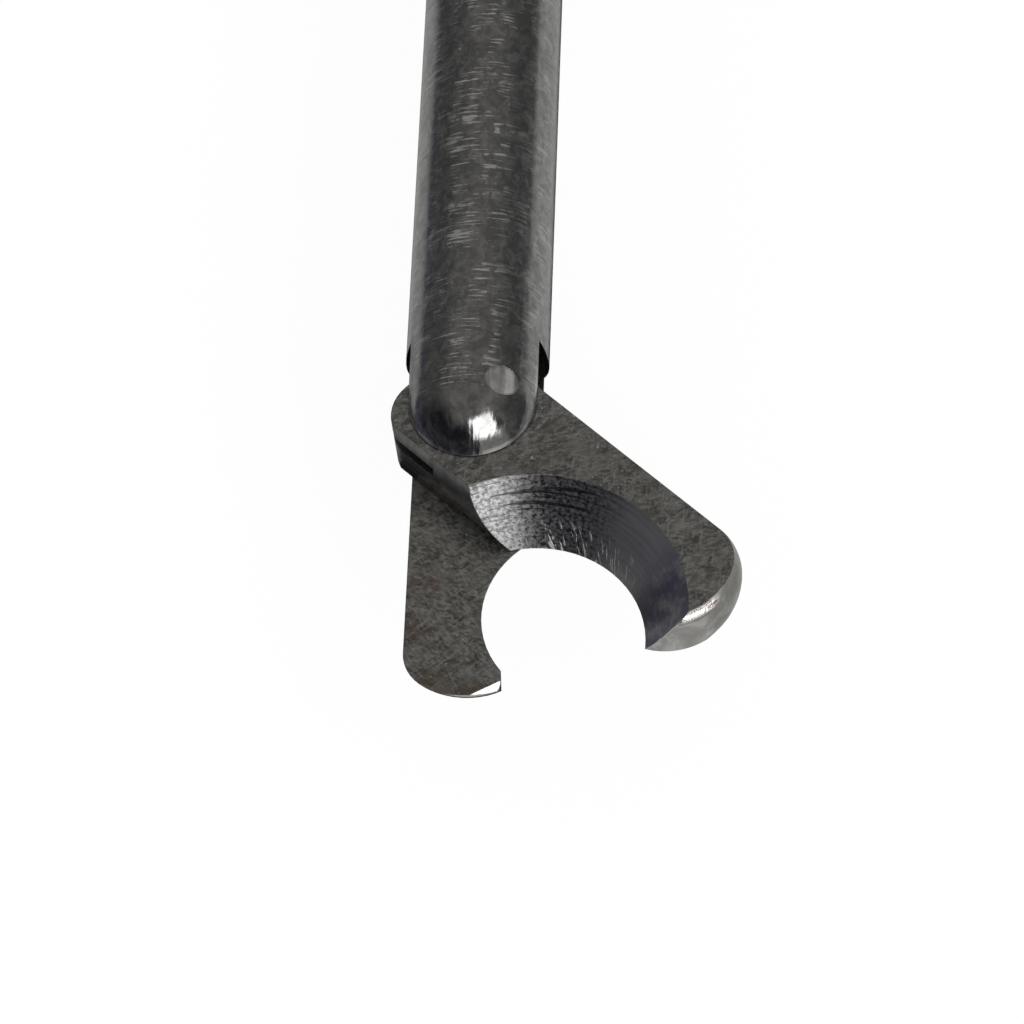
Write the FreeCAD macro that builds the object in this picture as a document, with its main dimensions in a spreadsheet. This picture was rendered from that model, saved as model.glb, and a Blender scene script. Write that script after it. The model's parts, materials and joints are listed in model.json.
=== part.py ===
import FreeCAD, Part
import math
import os
import re

import Sketcher

# Hook scissors for keyhole surgery, millimetres and degrees.
# +X runs along the shaft towards the blades, +Z up out of the plane that the
# rings and the blades lie in, origin on the shaft's axis at the trocar stop.

SIZES = {
    # shaft
    "bar_radius": 2.5,
    "tube_bore_radius": 2.0,
    "pivot_station": 319.0,
    "clevis_length": 24.0,
    "spigot_length": 8.0,
    "seam_chamfer": 0.3,
    "tube_seat_radius": 2.3,
    # clevis and pivot
    "slot_half": 1.13,
    "slot_arc_radius": 3.9,
    "slot_arc_centre": 0.75,
    "dome_station": 0.14,
    "pivot_offset": 1.094,
    "pivot_pin_radius": 0.575,
    "pin_clearance": 0.03,
    # fixed blade
    "fixed_reach": 10.6,
    "fixed_tip_offset": 1.12,
    "fixed_tip_round": 0.5,
    "fixed_hook_station": 7.45,
    "fixed_hook_offset": 3.95,
    "fixed_hook_radius": 3.57,
    # moving blade
    "opening_angle": 46.3,
    "blade_clearance": 0.04,
    "hook_station": 6.66,
    "hook_offset": 4.42,
    "hook_radius": 3.87,
    "nose_station": 8.6,
    "nose_radius": 2.35,
    "grind_slope": 0.72,
    "nose_round": 1.75,
    "tang_reach": 2.9,
    "tang_corner": 1.65,
    "heel_side": 2.4,
    "heel_end": 1.2,
    # drive
    "drive_arm": 2.2,
    "drive_pin_radius": 0.35,
    "fork_end": 0.05,
    "fork_clearance": 0.05,
    "tongue_thickness": 0.3,
    "tongue_rise": 0.45,
    "tongue_low": 0.76,
    "tongue_high": 0.35,
    "tongue_root": 1.0,
    "eye_radius": 0.65,
    "eye_taper": 1.4,
    "rod_radius": 1.05,
    "rod_clearance": 0.04,
    "rod_setback": 3.3,
    "guide_length": 6.0,
    "guide_first": 90.0,
    "guide_pitch": 110.0,
    # flush port hub
    "hub_radius": 5.2,
    "hub_length": 9.6,
    "hub_chamfer": 0.8,
    "port_radius": 3.4,
    "port_height": 15.0,
    "port_bore_radius": 2.05,
    "port_bore_depth": 8.0,
    "port_drill_radius": 0.9,
    "port_lug_reach": 4.1,
    "port_lug_width": 2.4,
    "port_lug_height": 1.2,
    # knob and collar
    "knob_radius": 11.0,
    "knob_nose_radius": 7.0,
    "knob_neck_radius": 9.4,
    "knob_nose_length": 7.0,
    "knob_length": 22.0,
    "knob_gap": 0.4,
    "knob_edge": 1.2,
    "flute_radius": 3.6,
    "flute_centre": 13.2,
    "flute_count": 6,
    "screw_radius": 1.25,
    "screw_length": 4.5,
    "knob_screw_setback": 7.3,
    "driver_slot": 1.3,
    "driver_depth": 0.8,
    "collar_radius": 4.46,
    "collar_end": 54.0,
    "tube_end": 46.0,
    "journal_clearance": 0.04,
    # seal
    "seal_radius": 3.0,
    "seal_length": 2.5,
    "seal_nut_radius": 3.8,
    "seal_nut_head": 2.5,
    # handle bearing
    "bushing_wall": 1.1,
    "bushing_flange": 0.9,
    "bushing_flange_radius": 7.2,
    "bushing_end": 50.6,
    "clip_gap": 0.15,
    "clip_thickness": 1.0,
    "clip_radius": 5.9,
    "clip_groove_radius": 3.7,
    "clip_mouth": 4.4,
    # handle
    "boss_radius": 8.6,
    "cavity_radius": 6.4,
    "cavity_end": 58.0,
    "rod_room": 4.2,
    "cheek_half": 6.5,
    "cheek_front": 48.0,
    "cheek_rear": 83.0,
    "cheek_bottom": 15.0,
    "cheek_corner": 6.0,
    "cheek_heel": 12.0,
    "slot_front": 64.0,
    "cover_thickness": 3.0,
    "arm_half": 3.2,
    "arm_foot": 7.0,
    "grip_half": 3.5,
    "grip_chamfer": 1.6,
    "finger_station": 51.0,
    "finger_drop": 55.0,
    "finger_ring_radius": 14.0,
    "finger_straight": 25.0,
    # thumb lever
    "lever_station": 71.0,
    "lever_arm": 6.0,
    "lever_half": 3.0,
    "lever_hub_radius": 5.5,
    "washer_thickness": 0.4,
    "washer_radius": 4.5,
    "washer_gap": 0.03,
    "block_half": 3.6,
    "block_top": 4.0,
    "ball_radius": 2.0,
    "ball_flat_latitude": 45.0,
    "ball_clearance": 0.03,
    "neck_radius": 1.1,
    "neck_room": 0.3,
    "gate_depth": 1.2,
    "channel_depth": 0.12,
    "neck_length": 3.0,
    "sleeve_radius": 1.9,
    "sleeve_length": 4.0,
    "lock_nut_radius": 2.4,
    "lock_nut_length": 1.8,
    "thumb_back": 28.2,
    "thumb_drop": 56.6,
    "thumb_ring_radius": 15.0,
    "thumb_straight": 5.0,
    "lever_root": 4.6,
    "lever_foot_back": 5.0,
    "lever_foot_front": 7.5,
    # lever screw
    "shoulder_radius": 2.0,
    "thread_radius": 1.5,
    "screw_head_radius": 3.6,
    "screw_head_depth": 1.6,
    "nut_radius": 3.4,
    "nut_depth": 1.8,
    "cover_screw_radius": 1.0,
    "cover_screw_margin": 3.0,
    "cover_screw_pitch": 12.0,
    "cover_screw_length": 3.0,
    # room that a cutting tool runs past a face
    "overrun": 0.2,
}

X_AXIS = FreeCAD.Rotation(FreeCAD.Vector(0, 1, 0), 90)
Y_AXIS = FreeCAD.Rotation(FreeCAD.Vector(1, 0, 0), -90)
Z_AXIS = FreeCAD.Rotation()

doc = FreeCAD.newDocument("hook_scissors")
sheet = doc.addObject("Spreadsheet::Sheet", "Sizes")
for row, (alias, number) in enumerate(SIZES.items(), start=1):
    sheet.set(f"A{row}", alias)
    sheet.set(f"B{row}", str(number))
    sheet.setAlias(f"B{row}", alias)
doc.recompute()

nodes = []


def linked(text):
    """The expression with each size named in it looked up in the sheet."""
    return re.sub(r"[A-Za-z_]\w*", lambda m: f"Sizes.{m[0]}" if m[0] in SIZES else m[0], text)


def value(text):
    """The number that an expression of sizes gives now."""
    return float(sheet.evalExpression(text))


def bind(piece, **expressions):
    """Ties properties of a piece to expressions of sizes."""
    for prop, text in expressions.items():
        piece.setExpression(prop.replace("__", "."), linked(text))
    return piece


def place(piece, at=("0", "0", "0"), turn=Z_AXIS):
    """Puts a piece at a point of three expressions, turned as given."""
    piece.Placement = FreeCAD.Placement(FreeCAD.Vector(), turn)
    for letter, text in zip("xyz", at):
        piece.setExpression(f"Placement.Base.{letter}", linked(text))
    return piece


def cylinder(name, radius, length, at, turn=X_AXIS):
    """A cylinder that starts at a point and runs along an axis."""
    piece = bind(doc.addObject("Part::Cylinder", name), Radius=radius, Height=length)
    return place(piece, at, turn)


def cone(name, radius1, radius2, length, at, turn=X_AXIS):
    """A cone that starts with radius1 at a point and runs along an axis."""
    piece = doc.addObject("Part::Cone", name)
    bind(piece, Radius1=radius1, Radius2=radius2, Height=length)
    return place(piece, at, turn)


def box(name, low, high):
    """A box between two corners of three expressions each."""
    piece = doc.addObject("Part::Box", name)
    for side, a, b in zip(("Length", "Width", "Height"), low, high):
        piece.setExpression(side, linked(f"({b}) - ({a})"))
    return place(piece, low)


def fuse(name, *pieces):
    """One solid of several."""
    piece = doc.addObject("Part::MultiFuse", name)
    piece.Shapes = list(pieces)
    piece.Refine = True
    return piece


def cut(name, base, *tools):
    """The base less every tool."""
    piece = doc.addObject("Part::Cut", name)
    piece.Base = base
    piece.Tool = tools[0] if len(tools) == 1 else fuse(name + "_tools", *tools)
    return piece


def common(name, *pieces):
    """What several solids share."""
    piece = doc.addObject("Part::MultiCommon", name)
    piece.Shapes = list(pieces)
    return piece


def together(name, pieces):
    """Pieces that stay apart but are placed as one."""
    piece = doc.addObject("Part::Compound", name)
    piece.Links = pieces
    return piece


def body(name):
    """An empty body."""
    return doc.addObject("PartDesign::Body", name)


def origin_plane(owner, role):
    """A body's own origin plane or axis."""
    return next(f for f in owner.Origin.OriginFeatures if f.Role == role)


def outline(owner, name, corners, role="XY_Plane", raised="0"):
    """A closed sketch through corners.

    A corner is (x, y) and a straight edge leaves it, or (x, y, radius) and an arc of
    that radius leaves it, turning left, or right where the radius starts with a minus.
    """
    sketch = owner.newObject("Sketcher::SketchObject", name)
    sketch.AttachmentSupport = [(origin_plane(owner, role), "")]
    sketch.MapMode = "FlatFace"
    sketch.setExpression("AttachmentOffset.Base.z", linked(raised))
    points = [FreeCAD.Vector(value(c[0]), value(c[1]), 0) for c in corners]
    for index, corner in enumerate(corners):
        first, last = points[index], points[(index + 1) % len(points)]
        if len(corner) == 2:
            sketch.addGeometry(Part.LineSegment(first, last), False)
            continue
        left = not corner[2].startswith("-")
        radius = value(corner[2].lstrip("-"))
        chord = last - first
        across = FreeCAD.Vector(-chord.y, chord.x, 0).normalize()
        rise = math.sqrt(max(radius**2 - chord.Length**2 / 4, 0))
        bulge = radius - rise
        middle = (first + last) / 2 + across * (-bulge if left else bulge)
        sketch.addGeometry(Part.Arc(first, middle, last), False)
    for index, corner in enumerate(corners):
        following = (index + 1) % len(corners)
        turned = len(corner) == 3 and corner[2].startswith("-")
        ahead = len(corners[following]) == 3 and corners[following][2].startswith("-")
        sketch.addConstraint(
            Sketcher.Constraint("Coincident", index, 1 if turned else 2, following, 2 if ahead else 1)
        )
        start = 2 if turned else 1
        for letter, kind, text in zip("xy", ("DistanceX", "DistanceY"), corner[:2]):
            number = sketch.addConstraint(Sketcher.Constraint(kind, -1, 1, index, start, value(text)))
            sketch.renameConstraint(number, f"{letter}{index}")
            sketch.setExpression(f"Constraints.{letter}{index}", linked(text))
        if len(corner) == 3:
            text = corner[2].lstrip("-")
            number = sketch.addConstraint(Sketcher.Constraint("Radius", index, value(text)))
            sketch.renameConstraint(number, f"r{index}")
            sketch.setExpression(f"Constraints.r{index}", linked(text))
    return sketch


def pad(owner, name, sketch, length, midplane=True, reverse=False):
    """A pad of a sketch, both ways from its plane or one way."""
    feature = owner.newObject("PartDesign::Pad", name)
    feature.Profile = sketch
    feature.Midplane = midplane
    feature.Reversed = reverse
    feature.setExpression("Length", linked(length))
    owner.Tip = feature
    return feature


def slab(name, corners, length, raised="0", midplane=True, reverse=False):
    """A body of one padded outline."""
    owner = body(name)
    sketch = outline(owner, name + "_outline", corners, raised=raised)
    pad(owner, name + "_pad", sketch, length, midplane, reverse)
    return owner


def revolved(name, corners):
    """A body turned about the shaft's axis from a half section in x and radius."""
    owner = body(name)
    sketch = outline(owner, name + "_section", corners)
    feature = owner.newObject("PartDesign::Revolution", name + "_turned")
    feature.Profile = sketch
    feature.ReferenceAxis = (origin_plane(owner, "X_Axis"), [""])
    feature.Angle = 360
    owner.Tip = feature
    return owner


def node(piece, name):
    """Marks a finished sub-part and gives it the name of its file."""
    piece.Label = name
    nodes.append(piece)
    return piece


# Places that follow from the sizes

BLADE_FACE = "(slot_half - blade_clearance)"
DRIVE_X = "drive_arm * sin(opening_angle / 2)"
DRIVE_Y = "drive_arm * cos(opening_angle / 2)"
BALL_X = f"(-lever_station + {DRIVE_X})"
LEVER_SWING = f"atan(({DRIVE_X}) / lever_arm)"
SHAFT_END = "-hub_length"
KNOB_REAR = "(-hub_length - knob_gap - knob_length)"
COLLAR_GROOVE = "(-bushing_end - clip_gap - clip_thickness)"
CHEEK_SLOT = "(lever_half + washer_thickness + 2 * washer_gap)"


def nosed_bar(name, back, reach):
    """The bar from behind the pivot to a blade's end, which is turned to a bull nose."""
    return revolved(
        name,
        [
            (f"-({back})", "0"),
            (reach, "0"),
            (reach, "bar_radius - nose_round", "nose_round"),
            (f"{reach} - nose_round", "bar_radius"),
            (f"-({back})", "bar_radius"),
        ],
    )


def round_bar(name):
    """The outside of the clevis: the shaft's bar with its domed end."""
    seam = cone(
        name + "_seam", "bar_radius - seam_chamfer", "bar_radius", "seam_chamfer",
        ("-clevis_length", "0", "0"),
    )
    bar = cylinder(
        name + "_bar", "bar_radius", "clevis_length - seam_chamfer + dome_station",
        ("seam_chamfer - clevis_length", "0", "0"),
    )
    dome = bind(doc.addObject("Part::Sphere", name + "_dome"), Radius="bar_radius")
    place(dome, ("dome_station", "0", "0"))
    return fuse(name, seam, bar, dome)


def clevis_jaw():
    """The slotted end of the shaft with the fixed hook blade, in one piece."""
    spigot = cylinder(
        "clevis_spigot", "tube_bore_radius", "spigot_length + overrun",
        ("-clevis_length - spigot_length", "0", "0"),
    )
    slot_box = box(
        "clevis_slot_box",
        ("slot_arc_centre", "-2 * bar_radius", "-slot_half"),
        ("fixed_reach + bar_radius", "2 * bar_radius", "slot_half"),
    )
    slot_arc = cylinder(
        "clevis_slot_arc", "slot_arc_radius", "2 * slot_half",
        ("slot_arc_centre", "0", "-slot_half"), Z_AXIS,
    )
    solid = fuse("clevis_round", round_bar("clevis_outside"), spigot)
    slotted = cut("clevis_slotted", solid, slot_box, slot_arc)
    blade = slab(
        "fixed_blade_plate",
        [
            ("-slot_arc_radius", "-bar_radius"),
            ("fixed_reach", "-bar_radius"),
            ("fixed_reach", "fixed_tip_offset - fixed_tip_round", "fixed_tip_round"),
            ("fixed_reach - fixed_tip_round", "fixed_tip_offset"),
            ("fixed_hook_station", "fixed_tip_offset"),
            ("fixed_hook_station", "bar_radius"),
            ("-slot_arc_radius", "bar_radius"),
        ],
        "bar_radius", "-slot_half", False, True,
    )
    bar = nosed_bar("fixed_blade_bar", "2 * bar_radius", "fixed_reach")
    rounded = common("fixed_blade_round", blade, bar)
    grind = cone(
        "fixed_blade_grind",
        "fixed_hook_radius + grind_slope * (bar_radius - slot_half)",
        "fixed_hook_radius - grind_slope * overrun",
        "bar_radius - slot_half + overrun",
        ("fixed_hook_station", "fixed_hook_offset", "-bar_radius"), Z_AXIS,
    )
    bore = cylinder(
        "clevis_bore", "rod_radius + rod_clearance",
        "clevis_length + spigot_length + slot_arc_centre - slot_arc_radius + 2 * overrun",
        ("-clevis_length - spigot_length - overrun", "0", "0"),
    )
    pin_hole = cylinder(
        "clevis_pin_hole", "pivot_pin_radius", "2 * bar_radius",
        ("0", "pivot_offset", "-bar_radius"), Z_AXIS,
    )
    jaw = cut("clevis_cut", fuse("clevis_whole", slotted, rounded), grind, bore, pin_hole)
    return place(node(jaw, "clevis_jaw"), ("pivot_station", "0", "0"))


def pivot_pin():
    """The blade's pivot, ground flush with the round outside of the clevis."""
    pin = cylinder(
        "pivot_pin_bar", "pivot_pin_radius", "2 * bar_radius",
        ("0", "pivot_offset", "-bar_radius"), Z_AXIS,
    )
    flush = common("pivot_pin_flush", pin, round_bar("pivot_pin_outside"))
    return place(node(flush, "pivot_pin"), ("pivot_station", "0", "0"))


def on_blade(piece, name):
    """Hangs a sub-part made about the pivot at the open blade's place."""
    place(node(piece, name), ("pivot_station", "pivot_offset", "0"))
    return bind(piece, Placement__Rotation__Angle="opening_angle")


def moving_blade():
    """The hook blade that turns in the slot, made closed, about its pivot."""
    plate = slab(
        "blade_plate",
        [
            ("-tang_reach", "tang_corner - bar_radius - pivot_offset", "tang_corner"),
            ("tang_corner - tang_reach", "-bar_radius - pivot_offset"),
            ("hook_station", "-bar_radius - pivot_offset"),
            ("nose_station", "bar_radius - 2 * nose_radius - pivot_offset", "nose_radius"),
            ("nose_station + nose_radius", "bar_radius - nose_radius - pivot_offset"),
            ("nose_station + nose_radius", "bar_radius - pivot_offset"),
            ("tang_corner - tang_reach", "bar_radius - pivot_offset", "tang_corner"),
            ("-tang_reach", "bar_radius - tang_corner - pivot_offset"),
        ],
        f"2 * {BLADE_FACE}",
    )
    bar = nosed_bar("blade_bar", "tang_reach + overrun", "nose_station + nose_radius")
    heel = box(
        "blade_heel",
        ("-tang_reach - overrun", "-heel_side - pivot_offset", f"-{BLADE_FACE}"),
        ("heel_end", "-pivot_offset", "0"),
    )
    envelope = fuse("blade_envelope", place(bar, ("0", "-pivot_offset", "0")), heel)
    rounded = common("blade_round", plate, envelope)
    grind = cone(
        "blade_grind",
        "hook_radius - grind_slope * overrun",
        f"hook_radius + grind_slope * (2 * {BLADE_FACE} + overrun)",
        f"2 * ({BLADE_FACE} + overrun)",
        ("hook_station", "-hook_offset - pivot_offset", f"-{BLADE_FACE} - overrun"), Z_AXIS,
    )
    pin_hole = cylinder(
        "blade_pin_hole", "pivot_pin_radius + pin_clearance", "2 * slot_half",
        ("0", "0", "-slot_half"), Z_AXIS,
    )
    drive_hole = cylinder(
        "blade_drive_hole", "drive_pin_radius", "2 * slot_half",
        (f"-{DRIVE_X}", f"-{DRIVE_Y}", "-slot_half"), Z_AXIS,
    )
    fork = box(
        "blade_fork",
        ("-2 * tang_reach", "-2 * bar_radius", "tongue_rise - tongue_thickness / 2 - fork_clearance"),
        ("fork_end", "2 * bar_radius", "tongue_rise + tongue_thickness / 2 + fork_clearance"),
    )
    return on_blade(cut("blade_cut", rounded, grind, pin_hole, drive_hole, fork), "moving_blade")


def drive_pin():
    """The pin that joins the blade's forked tang to the push rod."""
    pin = cylinder(
        "drive_pin_bar", "drive_pin_radius", f"2 * {BLADE_FACE}",
        (f"-{DRIVE_X}", f"-{DRIVE_Y}", f"-{BLADE_FACE}"), Z_AXIS,
    )
    return on_blade(together("drive_pin_whole", [pin]), "drive_pin")


def push_rod():
    """The rod in the shaft, with the flat tongue and cross slot that drive the blade."""
    rod = cylinder(
        "rod_bar", "rod_radius",
        f"pivot_station - rod_setback - ({BALL_X}) - ball_radius - neck_length",
        (f"{BALL_X} + ball_radius + neck_length", "0", "0"),
    )
    eye_y = f"(pivot_offset - ({DRIVE_Y} + drive_arm) / 2)"
    play = f"((drive_arm - {DRIVE_Y}) / 2)"
    reach = "(drive_pin_radius + pin_clearance)"
    tongue = slab(
        "rod_tongue",
        [
            ("-rod_setback - tongue_root", "-tongue_low"),
            (f"{DRIVE_X} - eye_taper", "-tongue_low"),
            (DRIVE_X, f"{eye_y} - eye_radius", "eye_radius"),
            (f"{DRIVE_X} + eye_radius", eye_y, "eye_radius"),
            (DRIVE_X, f"{eye_y} + eye_radius"),
            (f"{DRIVE_X} - eye_taper / 2", "tongue_high"),
            ("-rod_setback - tongue_root", "tongue_high"),
        ],
        "tongue_thickness", "tongue_rise",
    )
    cross_slot = slab(
        "rod_cross_slot",
        [
            (f"{DRIVE_X} - {reach}", f"{eye_y} + {play}"),
            (f"{DRIVE_X} - {reach}", f"{eye_y} - {play}", reach),
            (DRIVE_X, f"{eye_y} - {play} - {reach}", reach),
            (f"{DRIVE_X} + {reach}", f"{eye_y} - {play}"),
            (f"{DRIVE_X} + {reach}", f"{eye_y} + {play}", reach),
            (DRIVE_X, f"{eye_y} + {play} + {reach}", reach),
        ],
        "2 * tongue_thickness", "tongue_rise",
    )
    flat = place(cut("rod_tongue_slotted", tongue, cross_slot), ("pivot_station", "0", "0"))
    return node(fuse("rod_whole", rod, flat), "push_rod")


def outer_tube():
    """The thin tube of the shaft: its rear is turned down to a shoulder at the hub."""
    front = "(pivot_station - clevis_length)"
    tube = revolved(
        "tube_body",
        [
            ("-tube_end", "tube_bore_radius"),
            (front, "tube_bore_radius"),
            (front, "bar_radius - seam_chamfer"),
            (f"{front} - seam_chamfer", "bar_radius"),
            ("0", "bar_radius"),
            ("0", "tube_seat_radius"),
            ("-tube_end", "tube_seat_radius"),
        ],
    )
    drill = cylinder(
        "tube_port_hole", "port_drill_radius", "2 * bar_radius", ("-hub_length / 2", "0", "0"), Y_AXIS
    )
    return node(cut("tube_cut", tube, drill), "outer_tube")


def rod_guides():
    """Two sleeves in the tube that keep the push rod central."""
    sleeves = []
    for index in range(2):
        start = f"guide_first + {index} * guide_pitch"
        at = (start, "0", "0")
        outside = cylinder(f"guide_{index}_outside", "tube_bore_radius", "guide_length", at)
        bore = cylinder(
            f"guide_{index}_bore", "rod_radius + rod_clearance", "guide_length + 2 * overrun",
            (f"{start} - overrun", "0", "0"),
        )
        sleeves.append(cut(f"guide_{index}", outside, bore))
    return node(together("guides", sleeves), "rod_guides")


def flush_port_hub():
    """The hub on the shaft that stops it at the trocar and carries the flushing port."""
    hub = revolved(
        "hub_body",
        [
            ("-hub_length", "tube_seat_radius"),
            ("0", "tube_seat_radius"),
            ("0", "hub_radius - hub_chamfer"),
            ("-hub_chamfer", "hub_radius"),
            ("-hub_length", "hub_radius"),
        ],
    )
    middle = "-hub_length / 2"
    stub = cylinder(
        "port_stub", "port_radius", "port_height - bar_radius", (middle, "bar_radius", "0"), Y_AXIS
    )
    lugs = box(
        "port_lugs",
        (f"{middle} - port_lug_reach", "port_height - port_lug_height", "-port_lug_width / 2"),
        (f"{middle} + port_lug_reach", "port_height", "port_lug_width / 2"),
    )
    bore = cylinder(
        "port_bore", "port_bore_radius", "port_bore_depth + overrun",
        (middle, "port_height - port_bore_depth", "0"), Y_AXIS,
    )
    drill = cylinder("port_drill", "port_drill_radius", "port_height", (middle, "0", "0"), Y_AXIS)
    return node(cut("hub_cut", fuse("hub_whole", hub, stub, lugs), bore, drill), "flush_port_hub")


def rotation_knob():
    """The fluted knob that turns the shaft and the blades with it."""
    front = "(-hub_length - knob_gap)"
    owner = revolved(
        "knob_body",
        [
            (KNOB_REAR, "collar_radius"),
            (front, "collar_radius"),
            (front, "knob_nose_radius"),
            (f"{front} - knob_nose_length", "knob_neck_radius"),
            (f"{front} - knob_nose_length", "knob_radius"),
            (f"{KNOB_REAR} + knob_edge", "knob_radius"),
            (KNOB_REAR, "knob_radius - knob_edge"),
        ],
    )
    doc.recompute()
    flute = owner.newObject("Sketcher::SketchObject", "knob_flute_circle")
    flute.AttachmentSupport = [(origin_plane(owner, "YZ_Plane"), "")]
    flute.MapMode = "FlatFace"
    centre = FreeCAD.Vector(value("flute_centre"), 0, 0)
    flute.addGeometry(Part.Circle(centre, FreeCAD.Vector(0, 0, 1), value("flute_radius")), False)
    for kind, text in (("DistanceX", "flute_centre"), ("Radius", "flute_radius")):
        where = (-1, 1, 0, 3) if kind == "DistanceX" else (0,)
        number = flute.addConstraint(Sketcher.Constraint(kind, *where, value(text)))
        flute.renameConstraint(number, kind.lower())
        flute.setExpression(f"Constraints.{kind.lower()}", linked(text))
    flute.addConstraint(Sketcher.Constraint("PointOnObject", 0, 3, -1))
    pocket = owner.newObject("PartDesign::Pocket", "knob_flute")
    pocket.Profile = flute
    pocket.Midplane = True
    pocket.Type = "ThroughAll"
    owner.Tip = pocket
    doc.recompute()
    pattern = owner.newObject("PartDesign::PolarPattern", "knob_flutes")
    pattern.Originals = [pocket]
    pattern.Axis = (origin_plane(owner, "X_Axis"), [""])
    pattern.Angle = 360
    pattern.setExpression("Occurrences", linked("flute_count"))
    owner.Tip = pattern
    holes = screw_bars("knob_screw_hole", "knob_radius")
    return node(cut("knob_cut", owner, *holes), "rotation_knob")


def screw_bars(name, length):
    """Two bars a third of a turn apart, from the collar out between the knob's flutes."""
    station = f"{KNOB_REAR} + knob_screw_setback"
    about_shaft = FreeCAD.Rotation(FreeCAD.Vector(1, 0, 0), 1)
    bars = []
    for step in (1, 5):
        angle = f"({step} * 180 / flute_count)"
        at = (station, f"-collar_radius * sin({angle})", f"collar_radius * cos({angle})")
        bar = cylinder(f"{name}_{step}", "screw_radius", length, at, about_shaft)
        bars.append(bind(bar, Placement__Rotation__Angle=angle))
    return bars


def knob_set_screws():
    """The grub screws that hold the knob to the collar."""
    return node(together("grub_screws", screw_bars("grub", "screw_length")), "knob_set_screws")


def shaft_collar():
    """The sleeve on the tube's end that carries the knob and turns in the handle."""
    sleeve = revolved(
        "collar_body",
        [
            ("-collar_end", "seal_radius"),
            ("-tube_end", "seal_radius"),
            ("-tube_end", "tube_seat_radius"),
            (SHAFT_END, "tube_seat_radius"),
            (SHAFT_END, "collar_radius"),
            (f"{COLLAR_GROOVE} + clip_thickness", "collar_radius"),
            (f"{COLLAR_GROOVE} + clip_thickness", "clip_groove_radius"),
            (COLLAR_GROOVE, "clip_groove_radius"),
            (COLLAR_GROOVE, "collar_radius"),
            ("-collar_end", "collar_radius"),
        ],
    )
    return node(sleeve, "shaft_collar")


def ring(name, inner, outer, start, length):
    """A plain ring about the shaft's axis."""
    return revolved(
        name,
        [
            (start, inner),
            (f"({start}) + {length}", inner),
            (f"({start}) + {length}", outer),
            (start, outer),
        ],
    )


def seal_pieces():
    """The rod's seal in the collar and the nut that keeps it there."""
    spigot = "(-tube_end - seal_length)"
    seal = ring("seal_ring", "rod_radius + rod_clearance", "seal_radius", spigot, "seal_length")
    node(seal, "rod_seal")
    nut = revolved(
        "seal_nut_body",
        [
            ("-collar_end - seal_nut_head", "rod_radius + 2 * rod_clearance"),
            (spigot, "rod_radius + 2 * rod_clearance"),
            (spigot, "seal_radius"),
            ("-collar_end", "seal_radius"),
            ("-collar_end", "seal_nut_radius"),
            ("-collar_end - seal_nut_head", "seal_nut_radius"),
        ],
    )
    key = box(
        "seal_nut_slot",
        ("-collar_end - seal_nut_head - overrun", "-2 * seal_nut_radius", "-driver_slot / 2"),
        ("-collar_end - seal_nut_head + driver_depth", "2 * seal_nut_radius", "driver_slot / 2"),
    )
    node(cut("seal_nut_cut", nut, key), "seal_nut")


def shaft_bushing():
    """The plain bearing in the handle, with a flange under the knob."""
    front = f"({KNOB_REAR} - knob_gap)"
    inner = "collar_radius + journal_clearance"
    outer = f"{inner} + bushing_wall"
    bush = revolved(
        "bushing_body",
        [
            ("-bushing_end", inner),
            (front, inner),
            (front, "bushing_flange_radius"),
            (f"{front} - bushing_flange", "bushing_flange_radius"),
            (f"{front} - bushing_flange", outer),
            ("-bushing_end", outer),
        ],
    )
    return node(bush, "shaft_bushing")


def retaining_clip():
    """The open spring clip in the collar's groove, behind the bushing."""
    whole = ring("clip_ring", "clip_groove_radius", "clip_radius", COLLAR_GROOVE, "clip_thickness")
    mouth = box(
        "clip_mouth_gap",
        (f"{COLLAR_GROOVE} - overrun", "0", "-clip_mouth / 2"),
        (f"{COLLAR_GROOVE} + clip_thickness + overrun", "2 * clip_radius", "clip_mouth / 2"),
    )
    return node(cut("clip_cut", whole, mouth), "retaining_clip")


def ball_pieces():
    """The ball on the rod's end and the nut that locks it."""
    rear = f"({BALL_X} + ball_radius)"
    end = f"({rear} + neck_length + sleeve_length)"
    ball = bind(
        doc.addObject("Part::Sphere", "ball"),
        Radius="ball_radius", Angle1="-ball_flat_latitude", Angle2="ball_flat_latitude",
    )
    place(ball, (BALL_X, "0", "0"), X_AXIS)
    neck = cylinder("ball_neck", "neck_radius", "neck_length + ball_radius", (BALL_X, "0", "0"))
    rod_end = (f"{rear} + neck_length", "0", "0")
    sleeve = cylinder("ball_sleeve", "sleeve_radius", "sleeve_length", rod_end)
    bore = cylinder("ball_bore", "rod_radius", "sleeve_length + overrun", rod_end)
    node(cut("ball_cut", fuse("ball_whole", ball, neck, sleeve), bore), "ball_end")
    nut = doc.addObject("Part::Prism", "lock_nut_hex")
    nut.Polygon = 6
    bind(nut, Circumradius="lock_nut_radius", Height="lock_nut_length")
    place(nut, (end, "0", "0"), X_AXIS)
    hole = cylinder(
        "lock_nut_hole", "rod_radius", "lock_nut_length + 2 * overrun", (f"{end} - overrun", "0", "0")
    )
    node(cut("lock_nut_cut", nut, hole), "ball_lock_nut")


def racetrack(radius, straight, at):
    """The corners of two half circles joined by straight sides along y."""
    x, low, high = at[0], f"{at[1]} - ({straight}) / 2", f"{at[1]} + ({straight}) / 2"
    return [
        (f"{x} + {radius}", low),
        (f"{x} + {radius}", high, radius),
        (x, f"{high} + {radius}", radius),
        (f"{x} - {radius}", high),
        (f"{x} - {radius}", low, radius),
        (x, f"{low} - {radius}", radius),
    ]


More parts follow.
